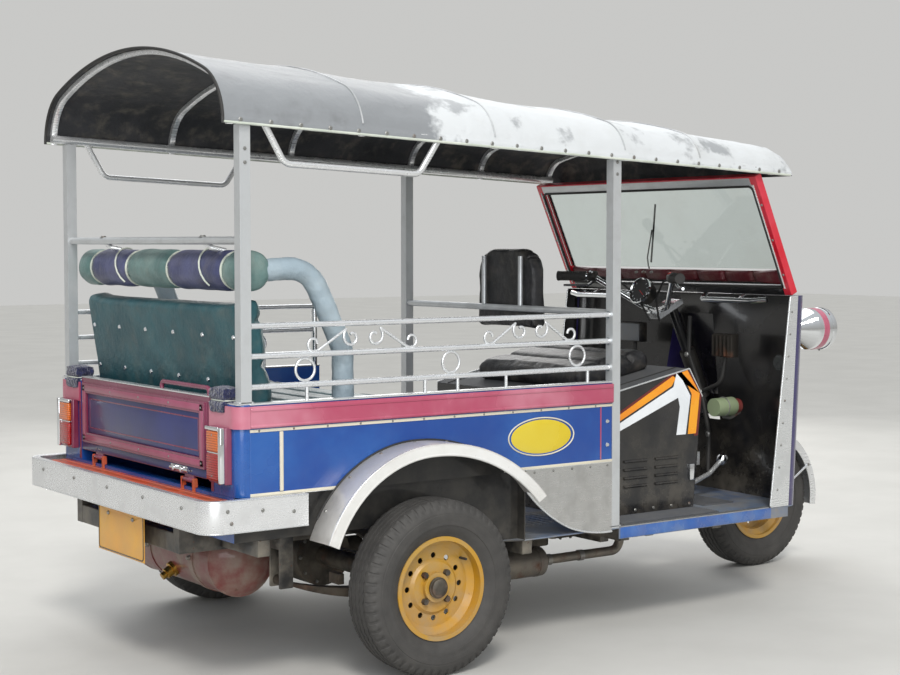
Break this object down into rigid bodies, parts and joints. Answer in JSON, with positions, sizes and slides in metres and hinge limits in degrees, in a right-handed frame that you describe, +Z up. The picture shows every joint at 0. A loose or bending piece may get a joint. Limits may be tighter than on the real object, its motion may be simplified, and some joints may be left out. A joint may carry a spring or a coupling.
{
  "type": "auto rickshaw",
  "caption": "Three-wheeled passenger rickshaw with a bench seat, side rails, vinyl canopy, tailgate, handlebar steering and freely turning wheels.",
  "frame": {"origin": "on the ground under the middle of the vehicle's footprint", "axes": "+X forward, +Y to the driver's left, +Z up"},
  "size_m": [3.1819, 1.56, 1.9497],
  "materials": {
    "frame_paint": "black chassis paint, dusty, rust at the edges",
    "axle_iron": "oily cast iron and steel, dusty",
    "spring_steel": "bare spring steel with brown rust film",
    "exhaust_steel": "dull aluminised steel",
    "tank_red": "dark red enamel, dusty",
    "floor_plate": "blue-grey floor plate, worn",
    "body_blue": "gloss blue enamel",
    "lamp_plastic": "amber and red lenses in a bright frame",
    "gate_maroon": "maroon enamel with a dark blue field",
    "deck_red": "orange-red enamel",
    "stainless": "polished stainless sheet and tube",
    "plate_yellow": "yellow enamel plate, blank",
    "rub_maroon": "maroon-pink enamel strip",
    "seat_vinyl": "teal vinyl, buttoned",
    "bolster_vinyl": "blue and grey vinyl with light piping",
    "chrome_tube": "chromed tube",
    "canopy_vinyl": "coated canvas, silver grey, bleached white forward",
    "black_paint": "black enamel",
    "black_vinyl": "black vinyl",
    "maroon_vinyl": "maroon vinyl",
    "cowl_purple": "dark purple-blue enamel",
    "pillar_red": "red enamel",
    "glass": "clear laminated glass",
    "tyre": "worn dusty tyre rubber",
    "rim_yellow": "yellow enamel wheel"
  },
  "bodies": {
    "chassis": {"ladder_frame": "frame_paint", "frame_members": "frame_paint", "rear_axle": "axle_iron", "leaf_springs": "spring_steel", "engine_block": "axle_iron", "propshaft": "spring_steel", "exhaust": "exhaust_steel", "gas_tank": "tank_red", "floor_pan": "floor_plate", "side_panels": "body_blue", "rear_corner_pillars": "body_blue", "tail_lamps": "lamp_plastic", "bumper_deck": "deck_red", "rear_bumper": "stainless", "number_plate": "plate_yellow", "arch_flares": "stainless", "skirt": "stainless", "rub_rails": "rub_maroon", "bench_box": "body_blue", "bench_cushion": "seat_vinyl", "bench_backrest": "seat_vinyl", "bolster_roll": "bolster_vinyl", "side_rails": "chrome_tube", "roof_posts": "stainless", "roof_frame": "stainless", "canopy": "canopy_vinyl", "engine_cover": "black_paint", "driver_seat": "black_vinyl", "front_cowl": "cowl_purple", "cowl_edge_strips": "stainless", "dash_panel": "maroon_vinyl", "windscreen_frame": "pillar_red", "windscreen_glass": "glass", "headlamps": "chrome_tube", "pedals_levers": "chrome_tube"},
    "steering": {"front_fork": "black_paint", "handlebar": "chrome_tube", "front_mudguard": "stainless"},
    "front_wheel": {"front_tyre": "tyre", "front_rim": "rim_yellow"},
    "rear_wheel_right": {"rear_tyre_right": "tyre", "rear_rim_right": "rim_yellow"},
    "rear_wheel_left": {"rear_tyre_left": "tyre", "rear_rim_left": "rim_yellow"},
    "tailgate": {"tailgate": "gate_maroon"}
  },
  "joints": [
    {"name": "steering_turn", "type": "hinge", "parent": "chassis", "child": "steering", "pos_m": [0.9715, 0, 0.8089], "axis": [-0.4384, 0, 0.8988], "range_deg": [-35, 35]},
    {"name": "front_wheel_roll", "type": "hinge", "parent": "steering", "child": "front_wheel", "pos_m": [1.291, 0, 0.275], "axis": [0, 1, 0], "continuous": true},
    {"name": "rear_wheel_right_roll", "type": "hinge", "parent": "chassis", "child": "rear_wheel_right", "pos_m": [-0.829, -0.705, 0.275], "axis": [0, 1, 0], "continuous": true},
    {"name": "rear_wheel_left_roll", "type": "hinge", "parent": "chassis", "child": "rear_wheel_left", "pos_m": [-0.829, 0.705, 0.275], "axis": [0, 1, 0], "continuous": true},
    {"name": "tailgate_swing", "type": "hinge", "parent": "chassis", "child": "tailgate", "pos_m": [-1.469, 0, 0.617], "axis": [0, -1, 0], "range_deg": [0, 90]}
  ]
}
